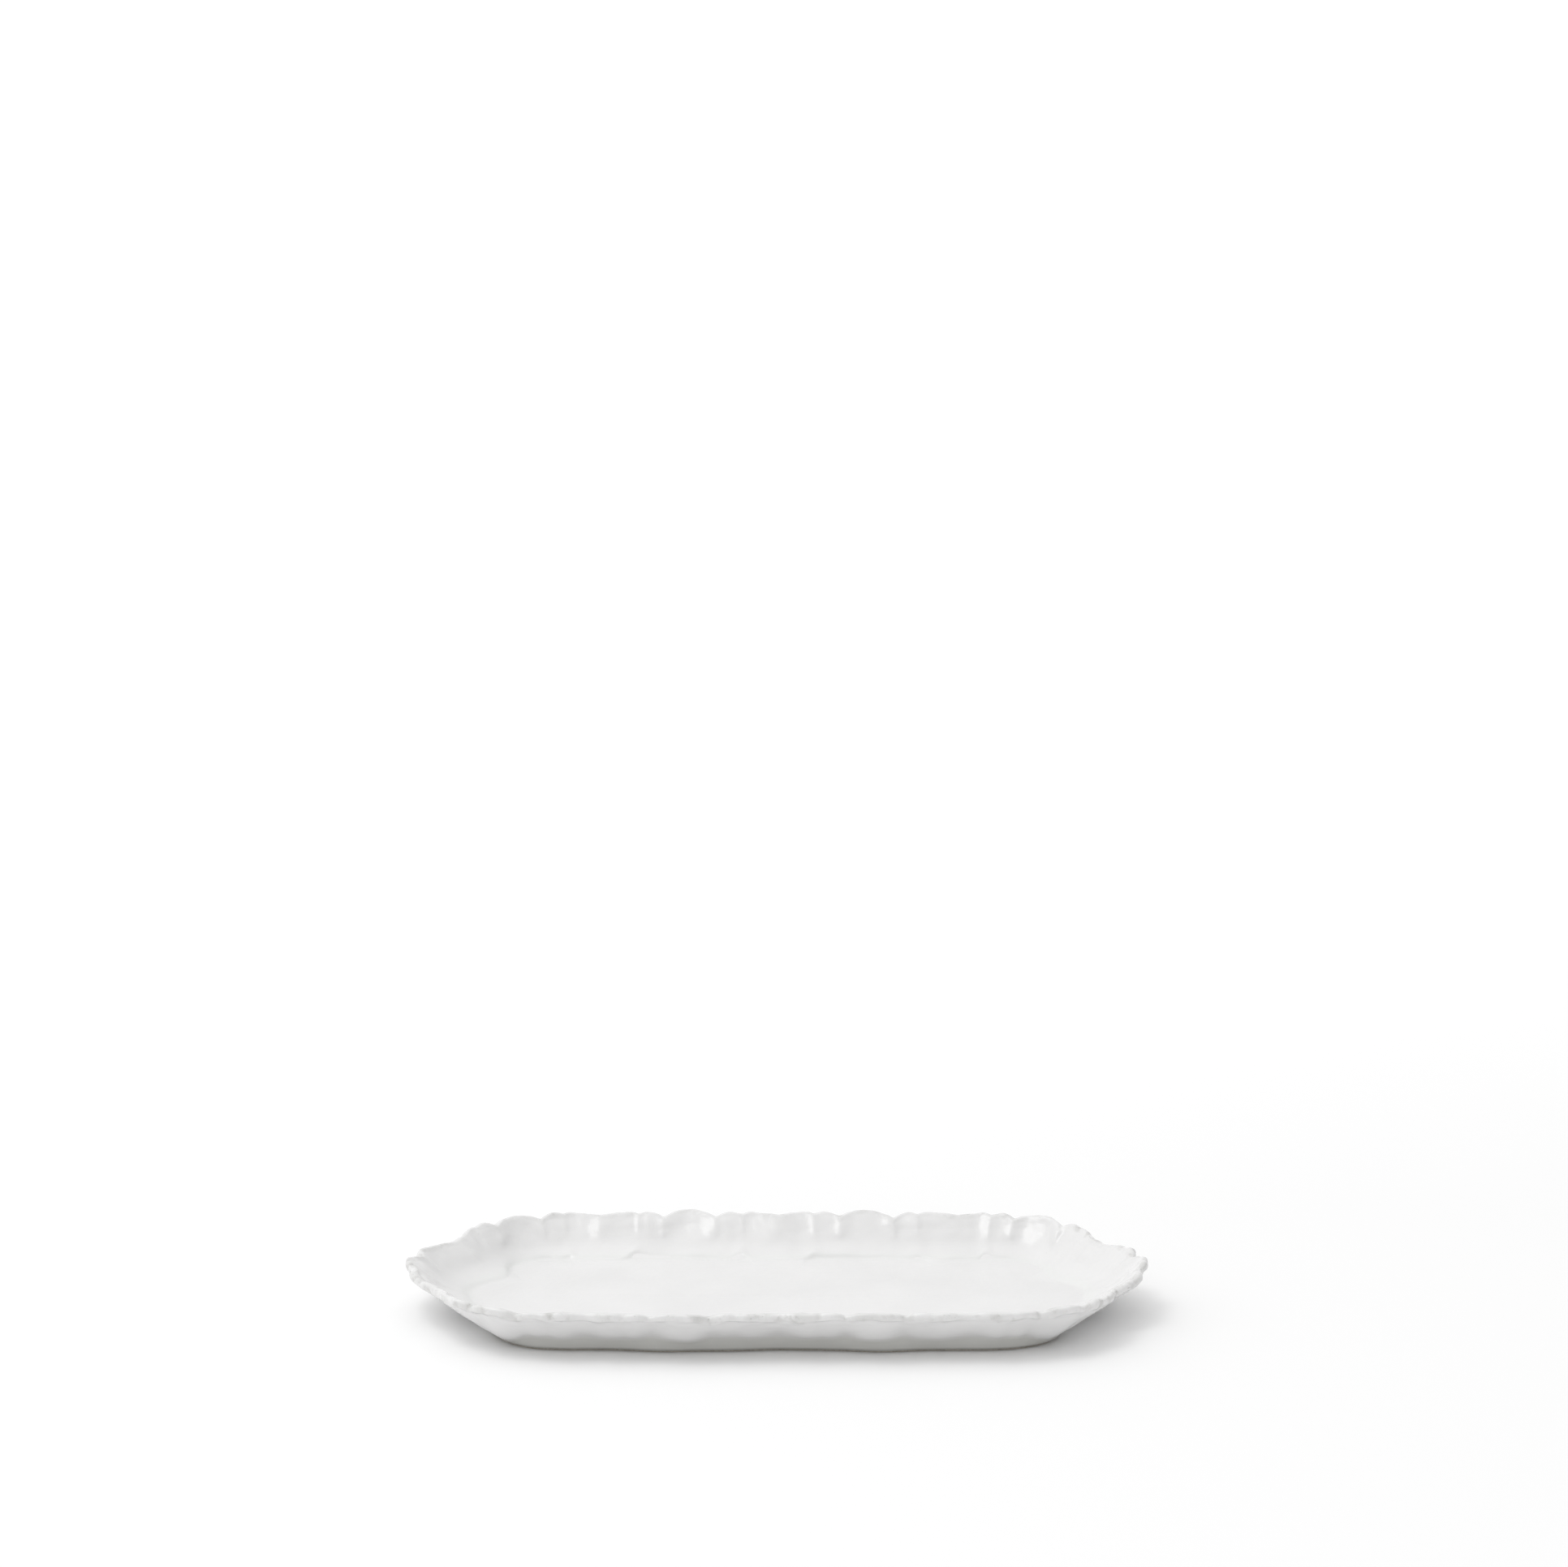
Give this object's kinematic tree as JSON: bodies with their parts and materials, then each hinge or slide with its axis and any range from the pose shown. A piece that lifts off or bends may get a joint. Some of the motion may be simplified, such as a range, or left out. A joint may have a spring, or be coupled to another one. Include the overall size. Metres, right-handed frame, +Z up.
{
  "type": "serving platter",
  "caption": "Long oval serving platter of white-glazed pressed clay, with a flat well, a scalloped flaring wall and a foot ring.",
  "frame": {"origin": "centre of the face the platter rests on, at the bottom of its bounding box", "axes": "+X along the platter's length, +Y across it, +Z up out of the well"},
  "size_m": [0.42, 0.2, 0.0292],
  "materials": {
    "clay_body": "fired clay, matt, seen where the glaze runs thin along the lip",
    "foot_clay": "fired clay wiped free of glaze, matt and slightly worn",
    "white_glaze": "glossy milky white glaze with soft pooling and pinholes",
    "underside_glaze": "thinner white glaze, slightly less glossy"
  },
  "bodies": {
    "root": {"platter_body": "clay_body", "foot_ring": "foot_clay", "glaze_upper": "white_glaze", "glaze_underside": "underside_glaze"}
  },
  "joints": []
}
